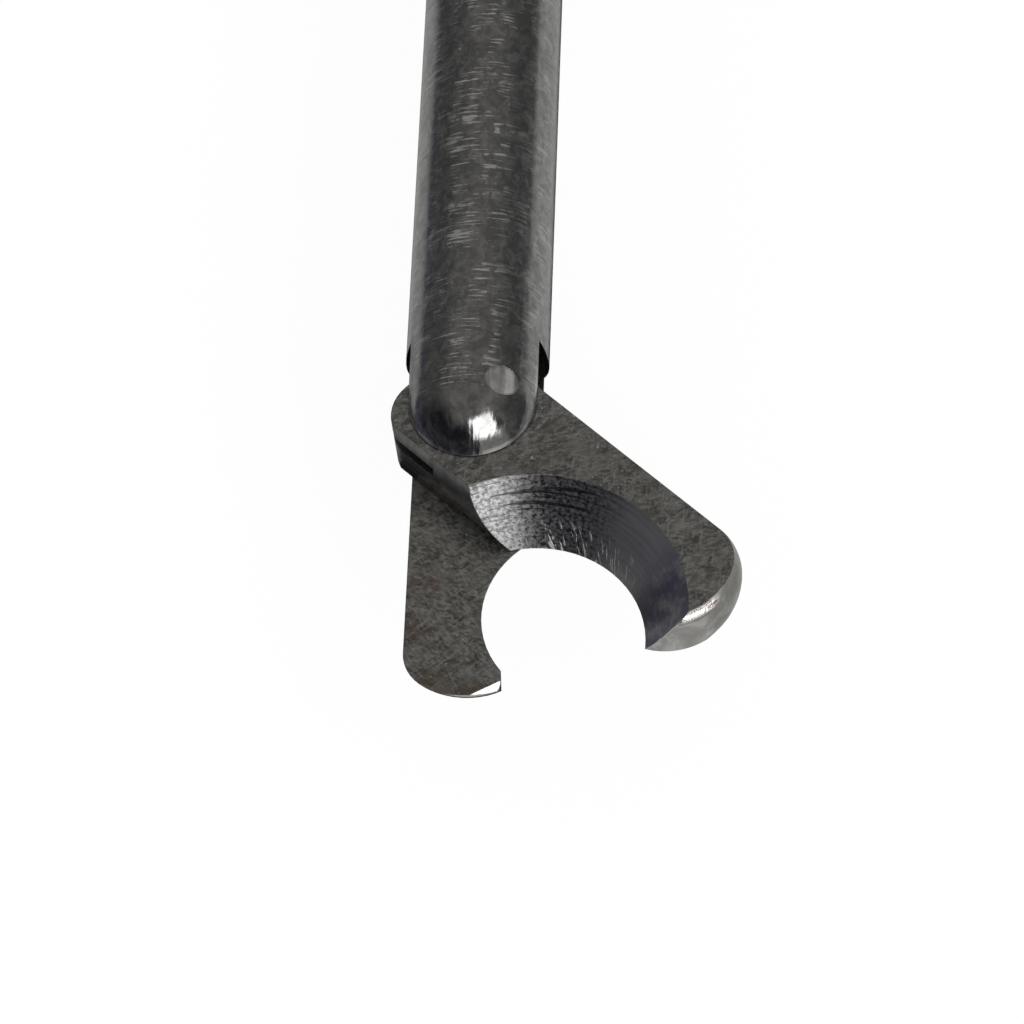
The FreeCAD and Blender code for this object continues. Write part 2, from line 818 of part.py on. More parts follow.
def grip_ring(name, radius, straight, at):
    """A ring for the fingers with chamfered rims, its long way along y."""
    owner = slab(name, racetrack(f"({radius} + grip_half)", straight, at), "2 * grip_half")
    doc.recompute()
    hole = owner.newObject("PartDesign::Pocket", name + "_hole")
    hole.Profile = outline(owner, name + "_inside", racetrack(f"({radius} - grip_half)", straight, at))
    hole.Midplane = True
    hole.Type = "ThroughAll"
    owner.Tip = hole
    doc.recompute()
    rims = [
        f"Edge{number}"
        for number, edge in enumerate(hole.Shape.Edges, start=1)
        if edge.BoundBox.ZLength < value("grip_half")
    ]
    eased = owner.newObject("PartDesign::Chamfer", name + "_eased")
    eased.Base = (hole, rims)
    eased.setExpression("Size", linked("grip_chamfer"))
    owner.Tip = eased
    return owner


def handle_frame():
    """The fixed half of the handle: bearing boss, two cheeks and the finger ring."""
    front = f"({KNOB_REAR} - knob_gap - bushing_flange)"
    boss = revolved(
        "boss_body",
        [
            ("-cavity_end", "0"),
            (front, "0"),
            (front, "boss_radius"),
            ("-cavity_end", "boss_radius"),
        ],
    )
    cheeks = slab(
        "cheek_plate",
        [
            ("-cheek_front", "boss_radius"),
            ("cheek_corner - cheek_rear", "boss_radius", "cheek_corner"),
            ("-cheek_rear", "boss_radius - cheek_corner"),
            ("-cheek_rear", "-lever_arm"),
            ("cheek_heel - cheek_rear", "-cheek_bottom"),
            ("-slot_front + cheek_corner", "-cheek_bottom"),
            ("-cheek_front", "-boss_radius"),
        ],
        "2 * cheek_half",
    )
    top = "(finger_ring_radius + finger_straight / 2 - finger_drop)"
    arm = slab(
        "arm_plate",
        [
            ("-cheek_front", "-lever_arm"),
            ("-slot_front", "-lever_arm"),
            ("-slot_front", "-cheek_bottom"),
            ("-finger_station - arm_foot", top),
            ("-finger_station + arm_foot", top),
        ],
        "2 * arm_half",
    )
    ring_at = ("-finger_station", "-finger_drop")
    ring_body = grip_ring("finger_ring", "finger_ring_radius", "finger_straight", ring_at)
    inner = "collar_radius + journal_clearance + bushing_wall"
    bearing = cylinder("boss_bearing", inner, "cavity_end", ("-cavity_end", "0", "0"))
    cavity = cylinder(
        "boss_cavity", "cavity_radius", "cavity_end - bushing_end", ("-cavity_end", "0", "0")
    )
    passage = cylinder(
        "boss_passage", "rod_room", "cheek_rear - bushing_end", ("-cheek_rear + cheek_corner", "0", "0")
    )
    slot = box(
        "lever_slot",
        ("-cheek_rear - overrun", "-2 * cheek_bottom", f"-{CHEEK_SLOT}"),
        ("-slot_front", "boss_radius + overrun", CHEEK_SLOT),
    )
    bar = cylinder(
        "lever_screw_hole", "shoulder_radius", "2 * cheek_half + 2 * overrun",
        ("-lever_station", "-lever_arm", "-cheek_half - overrun"), Z_AXIS,
    )
    head = cylinder(
        "lever_screw_sink", "screw_head_radius", "screw_head_depth + overrun",
        ("-lever_station", "-lever_arm", "cheek_half - screw_head_depth"), Z_AXIS,
    )
    nut = cylinder(
        "lever_nut_sink", "nut_radius", "nut_depth + overrun",
        ("-lever_station", "-lever_arm", "-cheek_half - overrun"), Z_AXIS,
    )
    solid = fuse("handle_whole", boss, cheeks, arm, ring_body)
    tools = (bearing, cavity, passage, slot, bar, head, nut)
    return node(cut("handle_cut", solid, *tools), "handle_frame")


def cover_bars(name, length):
    """Two bars up through the cap, in a row along it."""
    low = "boss_radius - cover_thickness"
    return [
        cylinder(
            f"{name}_{index}", "cover_screw_radius", length,
            (f"-slot_front - cover_screw_margin - {index} * cover_screw_pitch", low, "0"), Y_AXIS,
        )
        for index in range(2)
    ]


def handle_cover():
    """The cap that closes the top of the lever's slot."""
    low = "boss_radius - cover_thickness"
    reach = "sqrt(cheek_corner^2 - (cheek_corner - cover_thickness)^2)"
    cap = slab(
        "cover_plate",
        [
            ("-slot_front", low),
            ("-slot_front", "boss_radius"),
            ("cheek_corner - cheek_rear", "boss_radius", "cheek_corner"),
            (f"cheek_corner - cheek_rear - {reach}", low),
        ],
        f"2 * {CHEEK_SLOT}",
    )
    holes = cover_bars("cover_hole", "cover_thickness + overrun")
    node(cut("cover_cut", cap, *holes), "handle_cover")
    node(together("cover_screw_pair", cover_bars("cover_screw", "cover_screw_length")), "cover_screws")


def lever_screw_pieces():
    """The shoulder screw that the lever turns on, its nut and the two washers."""
    at = ("-lever_station", "-lever_arm")
    shoulder = cylinder(
        "shoulder_bar", "shoulder_radius", "2 * cheek_half - nut_depth",
        (*at, "nut_depth - cheek_half"), Z_AXIS,
    )
    head = cylinder(
        "shoulder_head", "screw_head_radius", "screw_head_depth",
        (*at, "cheek_half - screw_head_depth"), Z_AXIS,
    )
    thread = cylinder(
        "shoulder_thread", "thread_radius", "nut_depth + overrun", (*at, "-cheek_half"), Z_AXIS
    )
    driver = box(
        "shoulder_driver",
        (
            "-lever_station - 2 * screw_head_radius",
            "-lever_arm - driver_slot / 2",
            "cheek_half - driver_depth",
        ),
        (
            "2 * screw_head_radius - lever_station",
            "driver_slot / 2 - lever_arm",
            "cheek_half + overrun",
        ),
    )
    whole = fuse("shoulder_whole", shoulder, head, thread)
    node(cut("shoulder_cut", whole, driver), "lever_pivot_screw")
    nut = cylinder("pivot_nut_disc", "nut_radius", "nut_depth", (*at, "-cheek_half"), Z_AXIS)
    hole = cylinder(
        "pivot_nut_hole", "thread_radius", "nut_depth + 2 * overrun",
        (*at, "-cheek_half - overrun"), Z_AXIS,
    )
    node(cut("pivot_nut_cut", nut, hole), "pivot_nut")
    washers = []
    lows = ("lever_half + washer_gap", "-lever_half - washer_gap - washer_thickness")
    for index, low in enumerate(lows):
        disc = cylinder(f"washer_{index}_disc", "washer_radius", "washer_thickness", (*at, low), Z_AXIS)
        centre = cylinder(
            f"washer_{index}_hole", "shoulder_radius + pin_clearance", "washer_thickness + 2 * overrun",
            (*at, f"{low} - overrun"), Z_AXIS,
        )
        washers.append(cut(f"washer_{index}", disc, centre))
    node(together("washers", washers), "pivot_washers")


def thumb_lever():
    """The lever with the thumb ring, made at mid stroke about its pivot."""
    hub = cylinder("lever_hub", "lever_hub_radius", "2 * lever_half", ("0", "0", "-lever_half"), Z_AXIS)
    block = box(
        "lever_block",
        ("-block_half", "0", "-lever_half"),
        ("block_half", "lever_arm + block_top", "lever_half"),
    )
    arm = slab(
        "lever_arm_plate",
        [
            ("-lever_hub_radius", "0"),
            ("-thumb_back + lever_foot_back", "-thumb_drop + thumb_ring_radius"),
            ("-thumb_back + thumb_ring_radius", "-thumb_drop + lever_foot_front"),
            ("lever_root", "-lever_hub_radius / 2"),
        ],
        "2 * lever_half",
    )
    ring_at = ("-thumb_back", "-thumb_drop")
    ring_body = grip_ring("thumb_ring", "thumb_ring_radius", "thumb_straight", ring_at)
    socket_radius = "ball_radius + ball_clearance"
    channel = cylinder(
        "lever_ball_channel", socket_radius, "block_top + lever_arm",
        ("0", "lever_arm - ball_radius - channel_depth", "0"), Y_AXIS,
    )
    gate = box(
        "lever_neck_gate",
        ("0", "lever_arm - neck_radius - gate_depth", "-neck_radius - neck_room"),
        ("2 * block_half", "2 * lever_arm + block_top", "neck_radius + neck_room"),
    )
    bore = cylinder(
        "lever_bore", "shoulder_radius + pin_clearance", "2 * cheek_half",
        ("0", "0", "-cheek_half"), Z_AXIS,
    )
    lever = cut("lever_cut", fuse("lever_whole", hub, block, arm, ring_body), channel, gate, bore)
    place(node(lever, "thumb_lever"), ("-lever_station", "-lever_arm", "0"))
    return bind(lever, Placement__Rotation__Angle=f"-{LEVER_SWING}")


clevis_jaw()
pivot_pin()
moving_blade()
drive_pin()
push_rod()
outer_tube()
rod_guides()
flush_port_hub()
rotation_knob()
knob_set_screws()
shaft_collar()
seal_pieces()
shaft_bushing()
retaining_clip()
ball_pieces()
handle_frame()
handle_cover()
lever_screw_pieces()
thumb_lever()

doc.recompute()

for piece in doc.Objects:
    if "Invalid" in piece.State or "Error" in piece.State:
        raise RuntimeError(f"{piece.Name} failed: {piece.State}")
for piece in nodes:
    if piece.Shape.isNull() or not piece.Shape.isValid():
        raise RuntimeError(f"{piece.Label} has no valid shape")

os.makedirs("parts", exist_ok=True)
for piece in nodes:
    piece.Shape.exportStep(f"parts/{piece.Label}.step")
    print(piece.Label, len(piece.Shape.Solids), round(piece.Shape.Volume, 3))
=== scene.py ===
import json
import math

import bpy
from mathutils import Matrix, Vector


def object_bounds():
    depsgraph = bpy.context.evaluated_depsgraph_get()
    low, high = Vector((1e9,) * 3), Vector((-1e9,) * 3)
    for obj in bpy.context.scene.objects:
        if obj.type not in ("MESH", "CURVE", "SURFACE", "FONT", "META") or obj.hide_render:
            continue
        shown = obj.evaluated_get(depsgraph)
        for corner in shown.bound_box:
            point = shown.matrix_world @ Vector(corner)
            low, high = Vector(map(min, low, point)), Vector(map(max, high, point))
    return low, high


# Hook scissors on a white table: finishes of the steel, plastic and rubber, the light and the camera.

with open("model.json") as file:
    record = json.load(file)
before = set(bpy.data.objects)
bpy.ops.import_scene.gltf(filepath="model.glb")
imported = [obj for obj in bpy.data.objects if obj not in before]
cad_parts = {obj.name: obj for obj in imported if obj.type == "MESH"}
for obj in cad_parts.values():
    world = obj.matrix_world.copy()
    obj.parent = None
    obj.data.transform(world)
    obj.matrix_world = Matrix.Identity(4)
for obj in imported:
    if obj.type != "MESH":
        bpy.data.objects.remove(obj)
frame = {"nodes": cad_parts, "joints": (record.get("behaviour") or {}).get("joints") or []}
CAD_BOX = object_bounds()

MM = 0.001
JOINTS = {joint["name"]: joint for joint in frame["joints"]}
PIVOT = Vector(JOINTS["blade_hinge"]["pos_m"])
OPEN_ANGLE = math.radians(-JOINTS["blade_hinge"]["range_deg"][0])
# the blades, in millimetres: half the moving blade's thickness, half the slot, the dome's start
BLADE_FACE = 1.09
SLOT_HALF = 1.13
DOME_STATION = 0.14
# how far along its slope the worn facet of the fixed blade's tip starts, and how it leans
TIP_FACET = 7.95
TIP_FACET_LEAN = 200
# the middle of the brown stain on the fixed blade, from the shaft's axis at the pivot
STAIN = (5.9, -1.6, -1.13)
# the moving blade's hollow grind: its centre from the pivot, radius at mid thickness and slope,
# the millimetres along it for one degree, and the degrees that a nick slants in a millimetre
HOOK_CENTRE = (6.66, -5.514)
HOOK_MID_RADIUS = 4.655
GRIND_SLOPE = 0.72
GRIND_ARC = 0.08
NICK_SLANT = 7.5
# the burr where that grind runs out at the nose, with a painted highlight in its near-white tint:
# where it starts along its slope, its height over the blade's middle, how it leans and how unevenly
NOSE_BURR_AND_GLINT = 10.75
BURR_HEIGHT = 0.75
BURR_LEAN = 150
BURR_UNEVEN = 120
# the ring that the dome has rubbed on the moving blade, and the pivot pin's edge
RUB_RADIUS = 1.70
PIN_INSIDE = 0.50
PIN_OUTSIDE = 0.56
# the lamp's distance from the tip and half the table's side, in metres
LAMP_DISTANCE = 1.5
TABLE_REACH = 1.5
# the camera: its lens and place in millimetres, and the directions to its right and behind it
LENS = 170.67
CAMERA_PLACE = (415.419, 15.526, 136.373)
CAMERA_RIGHT = (-0.03276474, 0.99617765, -0.08097262)
CAMERA_BACK = (0.5591929, 0.08542037, 0.82462516)
# relief of steel: the depth in millimetres that a height of 1 stands for
STEEL_DEPTH = 0.005
BLADE_DEPTH = 0.0055


class Wire:
    """A socket of a finish. Python's sums and products on it add Math nodes."""

    def __init__(self, finish, socket):
        self.finish = finish
        self.socket = socket

    def math(self, operation, *others):
        node = self.finish.tree.nodes.new("ShaderNodeMath")
        node.operation = operation
        for slot, value in zip(node.inputs, (self, *others)):
            self.finish.feed(slot, value)
        return Wire(self.finish, node.outputs[0])

    def __add__(self, other):
        return self.math("ADD", other)

    __radd__ = __add__

    def __sub__(self, other):
        return self.math("SUBTRACT", other)

    def __rsub__(self, other):
        return self.math("MULTIPLY_ADD", -1.0, other)

    def __mul__(self, other):
        return self.math("MULTIPLY", other)

    __rmul__ = __mul__

    def __pow__(self, other):
        return self.math("POWER", other)

    def __abs__(self):
        return self.math("ABSOLUTE")

    def rise(self, low, high):
        """0 at low, 1 at high and smooth between. With low over high it falls instead."""
        made = self.finish.node(
            "MapRange", {"interpolation_type": "SMOOTHSTEP"},
            Value=self, From_Min=low, From_Max=high,
        )
        return Wire(self.finish, made.outputs[0])


class Finish:
    """The nodes of a material or of the world."""

    def __init__(self, holder):
        holder.use_nodes = True
        self.holder = holder
        self.tree = holder.node_tree
        self.tree.nodes.clear()

    def feed(self, slot, value):
        """Links a wire to an input, or sets the input's value."""
        if isinstance(value, Wire):
            self.tree.links.new(value.socket, slot)
        elif slot.type == "RGBA" and len(value) == 3:
            slot.default_value = (*value, 1.0)
        else:
            slot.default_value = value

    def node(self, kind, settings=None, **inputs):
        """A node of a type: its settings, then the values or wires of its inputs."""
        made = self.tree.nodes.new("ShaderNode" + kind)
        for name, setting in (settings or {}).items():
            setattr(made, name, setting)
        for name, value in inputs.items():
            self.feed(made.inputs[name.replace("_", " ")], value)
        return made

    def wire(self, kind, output=0, settings=None, **inputs):
        """One output of a new node."""
        return Wire(self, self.node(kind, settings, **inputs).outputs[output])

    def vector(self, operation, a, b):
        """A sum, product or other pairing of two vectors."""
        made = self.node("VectorMath", {"operation": operation})
        self.feed(made.inputs[0], a)
        self.feed(made.inputs[1], b)
        return made

    def split(self, vector):
        """The three parts of a vector."""
        made = self.node("SeparateXYZ", Vector=vector)
        return [Wire(self, out) for out in made.outputs]

    def turned(self, place, degrees):
        """A place turned about Z."""
        return self.wire(
            "VectorRotate", 0, {"rotation_type": "Z_AXIS"}, Vector=place, Angle=math.radians(degrees)
        )

    def millimetres(self, about=(0, 0, 0)):
        """Object coordinates in millimetres from a point."""
        place = self.vector("SUBTRACT", self.wire("TexCoord", "Object"), tuple(about))
        place = self.vector("MULTIPLY", Wire(self, place.outputs[0]), (1000, 1000, 1000))
        return Wire(self, place.outputs[0])

    def noise(self, place, pitch, detail=3.0, rough=0.55, twist=0.0):
        """Noise with so many features a millimetre along each axis, around 0.5."""
        place = Wire(self, self.vector("MULTIPLY", place, pitch).outputs[0])
        return self.wire(
            "TexNoise", 0, {"noise_dimensions": "3D"},
            Vector=place, Scale=1.0, Detail=detail, Roughness=rough, Distortion=twist,
        )

    def blend(self, factor, low, high):
        """A colour from low to high by a factor."""
        made = self.node("Mix", {"data_type": "RGBA"})
        self.feed(made.inputs[0], factor)
        self.feed(made.inputs[6], low)
        self.feed(made.inputs[7], high)
        return Wire(self, made.outputs[2])

    def relief(self, height, depth, edge):
        """A normal from a height of 0 to 1, the depth in millimetres that 1 stands for and
        the radius that sharp edges are broken to."""
        broken = self.wire("Bevel", 0, {"samples": 4}, Radius=edge * MM)
        return self.wire("Bump", Height=height, Strength=1.0, Distance=depth * MM, Normal=broken)

    def surface(self, **inputs):
        """Ends a material with the shader that has these inputs."""
        shader = self.node("BsdfPrincipled", **inputs)
        out = self.node("OutputMaterial")
        self.tree.links.new(shader.outputs[0], out.inputs[0])
        return self.holder


def material(name):
    return Finish(bpy.data.materials.new(name))


def scratched(f, place, angle, length, density):
    """Fine straight scratches at an angle, 0 to 1, of a length in millimetres."""
    return f.noise(f.turned(place, angle), (1 / length, 14, 0.5), 2, 0.5).rise(1 - density, 1.12 - density)


def grain_of(f, place):
    """Fine patches where a rubbed mark shows, 0 to 1."""
    return f.noise(place, (5, 5, 5), 3, 0.6).rise(0.4, 0.6)


def stoned_flat(f, place, tint, dark, stained):
    """A flat that was stoned by hand and used: cloudy grey with scratches, stains and specks."""
    grain = f.noise(f.turned(place, -62), (4.5, 9, 6), 4, 0.72)
    clouds = f.noise(place, (1.1, 0.8, 1), 4, 0.62, 0.5).rise(0.32, 0.68)
    stain = f.noise(place, (0.5, 0.28, 0.5), 3, 0.6, 0.6).rise(0.5, 0.66)
    dull = f.noise(place, (2.6, 1.6, 2), 4, 0.68, 0.8).rise(0.5, 0.64)
    marks = scratched(f, place, 52, 0.9, 0.42) + scratched(f, place, -28, 0.8, 0.40)
    specks = f.noise(place, (6, 6, 6), 2, 0.5).rise(0.68, 0.76)
    flat = f.blend(clouds, dark, tint)
    flat = f.blend(grain.rise(0.40, 0.64) * 0.8, flat, (0.54, 0.537, 0.52))
    flat = f.blend(dull * 0.7, flat, (0.11, 0.107, 0.10))
    flat = f.blend(stain * stained, flat, (0.20, 0.15, 0.11))
    flat = f.blend(marks * 0.45, flat, (0.6, 0.595, 0.57))
    flat = f.blend(specks * 0.75, flat, (0.9, 0.89, 0.86))
    height = grain * 0.6 + marks * 0.5 + clouds * 0.2
    rough = 0.33 + grain * 0.1 + specks * 0.15
    return flat, rough, height


def shaft_steel():
    """The bar of the shaft: ground with short marks round it, a turned dome, a stoned fixed blade."""
    f = material("shaft_steel")
    place = f.millimetres((PIVOT.x, 0, 0))
    x, y, z = f.split(place)
    streaks = f.noise(place, (0.14, 2.4, 2.4), 3, 0.55)
    mottle = f.noise(place, (2.2, 2.6, 2.6), 4, 0.65, 0.7)
    rings = f.noise(place, (10, 0.8, 0.8), 3, 0.65)
    top = 0.35 + 0.65 * abs(y + 0.1).rise(1.4, 0.7)
    marks = rings.rise(0.51, 0.62) * f.noise(place, (0.7, 1.5, 1.5), 3, 0.6).rise(0.46, 0.58) * top
    dome = x.rise(DOME_STATION, DOME_STATION + 0.4)
    marks = marks * (1 - dome)
    fan = f.wire("CombineXYZ", X=x * 0.5, Y=y.math("ARCTAN2", z) * 9, Z=0.0)
    strokes = f.noise(fan, (1, 1, 1), 2, 0.6, 0.2) * dome
    round_tint = f.blend(mottle.rise(0.34, 0.68), (0.25, 0.25, 0.25), (0.42, 0.418, 0.41))
    round_tint = f.blend(marks * 0.9, round_tint, (0.95, 0.95, 0.93))
    # a painted highlight: a light line along the cheek's lower edge round the dome
    painted_edge_highlight = z.rise(SLOT_HALF + 0.16, SLOT_HALF + 0.08) * z.rise(SLOT_HALF - 0.02, SLOT_HALF)
    round_tint = f.blend(painted_edge_highlight * x.rise(-2.0, 0.0) * 0.7, round_tint, (0.75, 0.74, 0.71))
    round_rough = 0.17 - dome * 0.06 + streaks.rise(0.3, 0.75) * 0.08
    round_rough = round_rough + mottle.rise(0.4, 0.75) * 0.08 + marks * 0.2
    round_height = streaks * 0.5 + mottle * 0.35 + marks * 0.5 + strokes * 2
    flat_tint, flat_rough, flat_height = stoned_flat(
        f, place, tint=(0.32, 0.317, 0.30), dark=(0.15, 0.147, 0.138), stained=0.6,
    )
    above = z.rise(0.012 - SLOT_HALF, 0.02 - SLOT_HALF)
    face = (1 - above) * z.rise(-0.03 - SLOT_HALF, -0.015 - SLOT_HALF)
    from_stain = Wire(f, f.vector("DISTANCE", place, STAIN).outputs["Value"])
    stain = from_stain.rise(1.1, 0.2) * grain_of(f, place)
    flat_tint = f.blend(stain * 0.6, flat_tint, (0.24, 0.17, 0.13))
    round_part = 1 - face
    # a bright facet worn on the fixed blade's very tip
    worn = (x * 0.75 + y * 0.40 - TIP_FACET).math("MAXIMUM", 0.0)
    flat_tint = f.blend(worn.rise(0, 0.03), flat_tint, (0.9, 0.89, 0.87))
    flat_height = flat_height - worn * TIP_FACET_LEAN
    height = round_height * round_part + flat_height * face
    return f.surface(
        Base_Color=f.blend(face, round_tint, flat_tint),
        Roughness=round_rough * round_part + flat_rough * face,
        Metallic=1.0,
        Normal=f.relief(height, STEEL_DEPTH, edge=0.05),
    )


def hollow_grind(f, z, angle, clouds):
    """The ground cone by its height and angle: bright torn root, cutter arcs, blued end, nicks."""
    polar = f.wire("CombineXYZ", X=z, Y=angle * GRIND_ARC, Z=0.0)
    arcs = f.noise(polar, (9.5, 0.35, 1), 3, 0.6, 0.2)
    mottle = f.noise(polar, (10, 7, 1), 3, 0.7, 0.4)
    torn = angle.rise(90, 113)
    bright_root = angle.rise(126, 146)
    blue_end = angle.rise(80, 58)
    grooves = arcs.rise(0.47, 0.38)
    pits = mottle.rise(0.42, 0.60) * torn
    cut = f.blend(arcs.rise(0.35, 0.65) * 0.6, (0.56, 0.56, 0.555), (0.78, 0.78, 0.77))
    cut = f.blend(torn * (1 - bright_root * 0.6), cut, (0.17, 0.17, 0.175))
    cut = f.blend(blue_end * clouds.rise(0.3, 0.6) * 0.95, cut, (0.27, 0.26, 0.35))
    cut = f.blend(pits * (0.42 + bright_root * 0.45), cut, (0.9, 0.9, 0.91))
    cut = f.blend(mottle.rise(0.45, 0.36) * torn * (0.85 - bright_root * 0.5), cut, (0.04, 0.04, 0.045))
    cut = f.blend(grooves * torn * z.rise(-0.8, 0.3) * 0.85, cut, (0.05, 0.05, 0.055))
    lip = z.rise(-0.05, -0.5) * angle.rise(66, 84) * angle.rise(136, 126)
    slanting = f.wire("CombineXYZ", X=z, Y=(angle - z * NICK_SLANT) * GRIND_ARC, Z=0.0)
    nicks = f.noise(slanting, (1.7, 8, 1), 3, 0.6, 0.5).rise(0.57, 0.65) * lip
    cut = f.blend(nicks, cut, (0.95, 0.95, 0.93))
    cut_rough = 0.24 + mottle * 0.16 + nicks * 0.2
    cut_height = arcs * 0.9 * angle.rise(60, 100) + mottle * 0.6 * torn + nicks * 0.6
    return cut, cut_rough, cut_height


def blade_steel():
    """The moving blade: stoned flats, a hollow grind with cutter arcs and a burr at the nose with a
    painted highlight.
    """
    f = material("moving_blade_steel")
    place = f.turned(f.millimetres(PIVOT), -math.degrees(OPEN_ANGLE))
    x, y, z = f.split(place)
    across = x - HOOK_CENTRE[0]
    along = y - HOOK_CENTRE[1]
    radius = (across * across + along * along) ** 0.5
    angle = along.math("ARCTAN2", across) * (180 / math.pi)
    off_cone = radius - GRIND_SLOPE * z
    ground = off_cone.rise(HOOK_MID_RADIUS + 0.06, HOOK_MID_RADIUS + 0.02)
    ground = ground * abs(z).rise(BLADE_FACE - 0.002, BLADE_FACE - 0.012)
    face = abs(z).rise(BLADE_FACE - 0.02, BLADE_FACE - 0.006)
    flat_tint, flat_rough, flat_height = stoned_flat(
        f, place, tint=(0.31, 0.31, 0.30), dark=(0.17, 0.17, 0.16), stained=0.15,
    )
    side_clouds = f.noise(place, (1.3, 1.3, 1.3), 3, 0.6, 0.4)
    cut, cut_rough, cut_height = hollow_grind(f, z, angle, side_clouds)
    side_grain = f.noise(place, (12, 12, 12), 3, 0.65)
    side = f.blend(side_clouds.rise(0.35, 0.65), (0.25, 0.245, 0.235), (0.40, 0.395, 0.38))
    # painted shade on the lower half of the tang's side, standing in for its contact shadow and dark
    # reflection
    painted_side_shade = x.rise(6.5, 4.5) * z.rise(0.05, -0.25)
    side = f.blend(painted_side_shade, side, (0.10, 0.095, 0.09))
    side_rough = 0.2 + side_grain * 0.12
    rubbed = abs((x * x + y * y) ** 0.5 - RUB_RADIUS).rise(0.07, 0.02)
    flat_tint = f.blend(rubbed * grain_of(f, place) * 0.6, flat_tint, (0.75, 0.74, 0.72))
    plain = (1 - face) * (1 - ground)
    # the burr's relief is real; its near-white pink tint is a painted highlight
    burr_and_glint = (x * 0.97 - y * 0.24 - NOSE_BURR_AND_GLINT).rise(0.0, 0.12) * z.rise(0.35, 0.55) * plain
    lean = (BURR_HEIGHT - z) * (BURR_LEAN + side_grain * BURR_UNEVEN) * burr_and_glint
    tint = f.blend(ground, f.blend(face, side, flat_tint), cut)
    height = side_grain * 0.3 * plain + flat_height * face + cut_height * ground + lean
    return f.surface(
        Base_Color=f.blend(burr_and_glint, tint, (1.0, 0.93, 0.9)),
        Roughness=side_rough * plain + flat_rough * face + cut_rough * ground,
        Metallic=1.0,
        Normal=f.relief(height, BLADE_DEPTH, edge=0.05),
    )


def pin_steel():
    """The pivot's end, ground flush with the clevis, with a hairline gap round it."""
    f = material("pivot_pin_steel")
    place = f.millimetres(PIVOT)
    x, y = f.split(place)[:2]
    streaks = f.noise(place, (0.7, 5, 2), 3, 0.6)
    specks = f.noise(place, (5, 5, 5), 3, 0.6).rise(0.5, 0.7)
    gap = ((x * x + y * y) ** 0.5).rise(PIN_INSIDE, PIN_OUTSIDE)
    # a painted highlight: a bright band across the pin's end
    painted_streak_highlight = y.rise(-0.05, 0.2) * y.rise(0.52, 0.3)
    tint = f.blend(streaks.rise(0.35, 0.7), (0.52, 0.52, 0.50), (0.88, 0.87, 0.85))
    bright = (specks * 0.6 + painted_streak_highlight * streaks.rise(0.3, 0.5)).math("MINIMUM", 1.0)
    tint = f.blend(bright, tint, (1.0, 0.99, 0.97))
    tint = f.blend(gap * 0.5, tint, (0.2, 0.2, 0.2))
    rough = 0.24 + streaks * 0.16 + painted_streak_highlight * 0.22
    return f.surface(
        Base_Color=tint, Roughness=rough, Metallic=1.0,
        Normal=f.relief(streaks * 0.8 - gap * 0.5, STEEL_DEPTH, edge=0.02),
    )


def turned_steel(name, axis, tint=(0.56, 0.56, 0.55)):
    """Small turned parts: fine rings round their axis, a few stains and bright rubbed marks."""
    f = material(name)
    place = f.millimetres()
    pitch = [0.35, 0.35, 0.35]
    pitch["xyz".index(axis)] = 8
    rings = f.noise(place, pitch, 3, 0.6)
    stain = f.noise(place, (0.35, 0.35, 0.35), 4, 0.6, 0.5)
    rubbed = f.noise(place, (1.2, 1.2, 1.2), 3, 0.6).rise(0.6, 0.72)
    made = f.blend(stain.rise(0.4, 0.7), tint, tuple(0.7 * part for part in tint))
    made = f.blend(rings.rise(0.45, 0.75) * 0.5, made, tuple(min(1.25 * part, 1) for part in tint))
    made = f.blend(rubbed * 0.3, made, (0.8, 0.8, 0.79))
    rough = 0.24 + rings * 0.12 + stain * 0.1
    return f.surface(
        Base_Color=made, Roughness=rough, Metallic=1.0,
        Normal=f.relief(rings + rubbed * 0.2, STEEL_DEPTH, edge=0.15),
    )


def moulded_plastic(name, tint, shine):
    """Moulded grips: a fine eroded grain, faint clouds, scuffs and a few dust specks."""
    f = material(name)
    place = f.millimetres()
    grain = f.noise(place, (5, 5, 5), 3, 0.6)
    clouds = f.noise(place, (0.07, 0.07, 0.07), 4, 0.6)
    scuffs = f.noise(place, (0.4, 1.9, 1.1), 3, 0.6, 0.8).rise(0.6, 0.72)
    dust = f.noise(place, (2.4, 2.4, 2.4), 2, 0.5).rise(0.72, 0.78)
    made = f.blend(clouds.rise(0.3, 0.75) * 0.6, tint, tuple(1.5 * part + 0.01 for part in tint))
    made = f.blend(scuffs * 0.3, made, tuple(2.2 * part + 0.02 for part in tint))
    made = f.blend(dust * 0.5, made, (0.5, 0.49, 0.47))
    rough = shine + grain * 0.16 + scuffs * 0.1
    height = grain + scuffs * 0.3
    return f.surface(
        Base_Color=made, Roughness=rough, Normal=f.relief(height, depth=0.024, edge=0.6)
    )


def bearing_plastic():
    """Turned bearing plastic: ivory with faint turning rings and rubbed streaks."""
    f = material("bearing_plastic_turned")
    place = f.millimetres()
    rings = f.noise(place, (5, 0.4, 0.4), 3, 0.6)
    clouds = f.noise(place, (0.3, 0.3, 0.3), 3, 0.6)
    rubbed = f.noise(place, (0.3, 2, 2), 3, 0.6).rise(0.55, 0.75)
    made = f.blend(clouds, (0.72, 0.67, 0.57), (0.82, 0.78, 0.70))
    made = f.blend(rubbed * 0.3, made, (0.55, 0.50, 0.42))
    rough = 0.42 + rings * 0.15 + rubbed * 0.1
    return f.surface(
        Base_Color=made, Roughness=rough, Normal=f.relief(rings, depth=0.012, edge=0.1)
    )


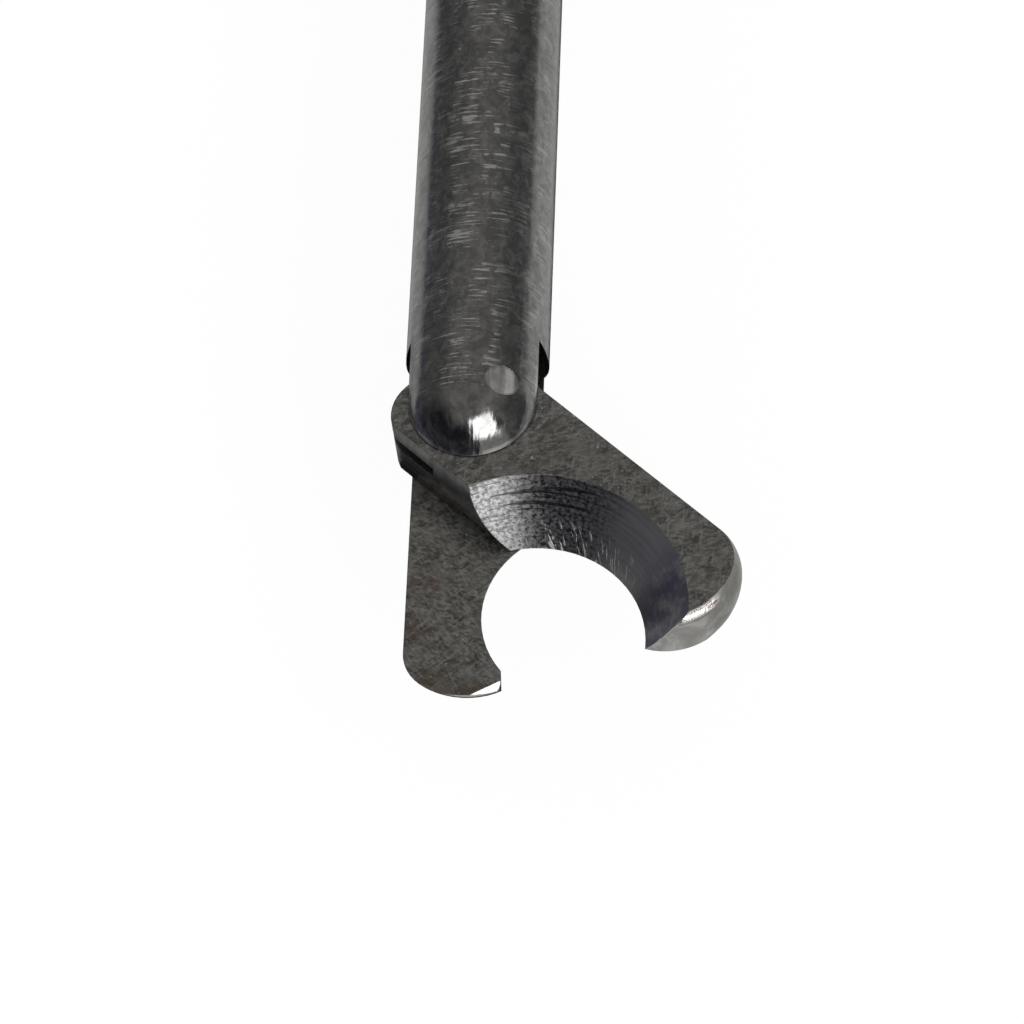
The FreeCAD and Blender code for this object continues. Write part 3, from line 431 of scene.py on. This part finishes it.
def seal_silicone():
    """The rod's moulded seal: dull red rubber with a dusty bloom."""
    f = material("seal_silicone")
    place = f.millimetres()
    bloom = f.noise(place, (1.2, 1.2, 1.2), 4, 0.65)
    made = f.blend(bloom.rise(0.4, 0.8), (0.42, 0.10, 0.07), (0.55, 0.24, 0.19))
    rough = 0.5 + bloom * 0.2
    return f.surface(
        Base_Color=made, Roughness=rough, Normal=f.relief(bloom, depth=0.012, edge=0.1)
    )


def dress(made, *nodes):
    """Gives CAD nodes a finish."""
    for name in nodes:
        mesh = frame["nodes"][name].data
        mesh.materials.clear()
        mesh.materials.append(made)


def dress_scissors():
    """The finish of every sub-part."""
    dress(shaft_steel(), "clevis_jaw", "outer_tube")
    dress(blade_steel(), "moving_blade")
    dress(pin_steel(), "pivot_pin")
    dress(turned_steel("pin_steel_turned", "z"), "drive_pin", "lever_pivot_screw", "pivot_nut")
    dress(
        turned_steel("rod_steel_turned", "x"),
        "push_rod", "shaft_collar", "seal_nut", "retaining_clip", "ball_end", "ball_lock_nut",
    )
    dress(turned_steel("hub_steel_turned", "x", (0.5, 0.5, 0.5)), "flush_port_hub")
    dress(turned_steel("grub_screw_steel", "z", (0.3, 0.3, 0.31)), "knob_set_screws")
    dress(turned_steel("cover_screw_steel", "y"), "cover_screws")
    dress(moulded_plastic("knob_plastic_moulded", (0.035, 0.035, 0.038), 0.34), "rotation_knob")
    dress(
        moulded_plastic("handle_plastic_moulded", (0.045, 0.046, 0.05), 0.38),
        "handle_frame", "handle_cover", "thumb_lever",
    )
    dress(bearing_plastic(), "rod_guides", "shaft_bushing", "pivot_washers")
    dress(seal_silicone(), "rod_seal")


def toward(azimuth, elevation):
    """A direction away from the tip, its azimuth from +X towards +Y."""
    a, e = math.radians(azimuth), math.radians(elevation)
    return Vector((math.cos(e) * math.cos(a), math.cos(e) * math.sin(a), math.sin(e)))


def softbox(name, azimuth, elevation, wide, high, brightness):
    """A soft lamp that faces the tip, so many degrees wide and high as seen from it."""
    data = bpy.data.lights.new(name, "AREA")
    data.shape = "RECTANGLE"
    data.size = 2 * LAMP_DISTANCE * math.tan(math.radians(wide / 2))
    data.size_y = 2 * LAMP_DISTANCE * math.tan(math.radians(high / 2))
    data.energy = brightness * math.pi * data.size * data.size_y
    lamp = bpy.data.objects.new(name, data)
    direction = toward(azimuth, elevation)
    lamp.location = PIVOT + direction * LAMP_DISTANCE
    lamp.rotation_euler = direction.to_track_quat("Z", "Y").to_euler()
    bpy.context.scene.collection.objects.link(lamp)


def room():
    """The room: white, but dim where the steel mirrors it, with one paler side and a dark front."""
    f = Finish(bpy.data.worlds.new("room"))
    direction = f.wire("TexCoord", "Generated")
    x, y, z = f.split(direction)
    mirrored = f.blend(z.rise(0.45, 0.85), (0.10, 0.10, 0.10), (0.215, 0.21, 0.20))
    front = (x * 0.8 - y * 0.35).rise(0.0, 0.45) * z.rise(0.9, 0.6)
    mirrored = f.blend(front, mirrored, (0.015, 0.015, 0.02))
    low_band = z.rise(0.08, 0.15) * z.rise(0.35, 0.27) * y.rise(-0.3, -0.5) * x.rise(-0.3, 0.0)
    mirrored = f.blend(low_band, mirrored, (0.055, 0.053, 0.062))
    beside = Wire(f, f.vector("DOT_PRODUCT", direction, tuple(toward(34, 12))).outputs["Value"])
    mirrored = f.blend(beside.rise(0.88, 0.96), mirrored, (0.42, 0.42, 0.41))
    shown = f.blend(f.wire("LightPath", "Is Glossy Ray"), (1, 1, 1), mirrored)
    back = f.node("Background", Color=shown, Strength=1.0)
    out = f.node("OutputWorld")
    f.tree.links.new(back.outputs[0], out.inputs[0])
    bpy.context.scene.world = f.holder


def table():
    """A white table just under the handle. What the steel mirrors of it is a painted reflection of a dark
    cloth and pale cards, which exist only for glossy rays.
    """
    low = CAD_BOX[0][2]
    corners = [
        (PIVOT.x + a * TABLE_REACH, b * TABLE_REACH, low)
        for a, b in ((-1, -1), (1, -1), (1, 1), (-1, 1))
    ]
    mesh = bpy.data.meshes.new("table")
    mesh.from_pydata(corners, [], [(0, 1, 2, 3)])
    top = bpy.data.objects.new("table", mesh)
    bpy.context.scene.collection.objects.link(top)
    f = material("table_white")
    x, y = f.split(f.millimetres((PIVOT.x, 0, 0)))[:2]
    # painted reflection: glossy rays see a dark cloth and pale cards here, the camera sees white
    mirrored = f.blend(y.rise(-12, -24), (0.03, 0.03, 0.032), (0.085, 0.085, 0.115))
    # the edges of the painted reflection's pale patches are in millimetres from under the pivot
    painted_reflection_near = y.rise(-5, -8) * y.rise(-20, -15) * x.rise(-2, -7)
    painted_reflection_left = y.rise(-12, -16) * y.rise(-75, -60) * x.rise(-14, -19)
    mirrored = f.blend(painted_reflection_near.math("MAXIMUM", painted_reflection_left), mirrored, (0.42, 0.42, 0.41))
    painted_reflection_far = y.rise(-24, -30) * y.rise(-80, -62) * x.rise(0, 8)
    mirrored = f.blend(painted_reflection_far, mirrored, (0.32, 0.32, 0.31))
    painted_reflection_right = y.rise(4.5, 9)
    mirrored = f.blend(painted_reflection_right, mirrored, (0.5, 0.5, 0.49))
    painted_reflection_front = x.rise(8, 10.5) * y.rise(-6, -3)
    mirrored = f.blend(painted_reflection_front, mirrored, (0.8, 0.8, 0.79))
    glossy = f.wire("LightPath", "Is Glossy Ray")
    lit = (f.wire("LightPath", "Is Camera Ray") * 0.9 + glossy).math("MINIMUM", 1.0)
    shine = f.node("Emission", Color=f.blend(glossy, (1, 1, 1), mirrored), Strength=1.0)
    matt = f.node("BsdfDiffuse", Color=(0.86, 0.86, 0.86))
    mix = f.node("MixShader", Fac=lit)
    out = f.node("OutputMaterial")
    f.tree.links.new(matt.outputs[0], mix.inputs[1])
    f.tree.links.new(shine.outputs[0], mix.inputs[2])
    f.tree.links.new(mix.outputs[0], out.inputs[0])
    mesh.materials.append(f.holder)


def camera():
    """The camera looks down on the tip from in front, and the shaft goes away from it."""
    data = bpy.data.cameras.new("camera")
    data.sensor_width = 36
    data.lens = LENS
    data.clip_start = 0.01
    data.clip_end = 20
    right = Vector(CAMERA_RIGHT)
    back = Vector(CAMERA_BACK)
    placed = Matrix((right, back.cross(right), back)).transposed().to_4x4()
    placed.translation = Vector(CAMERA_PLACE) * MM
    view = bpy.data.objects.new("camera", data)
    view.matrix_world = placed
    bpy.context.scene.collection.objects.link(view)
    bpy.context.scene.camera = view


dress_scissors()
softbox("key_softbox", 27, 43, 36, 34, 3.2)
room()
table()
camera()
bpy.context.scene.view_settings.view_transform = "Standard"
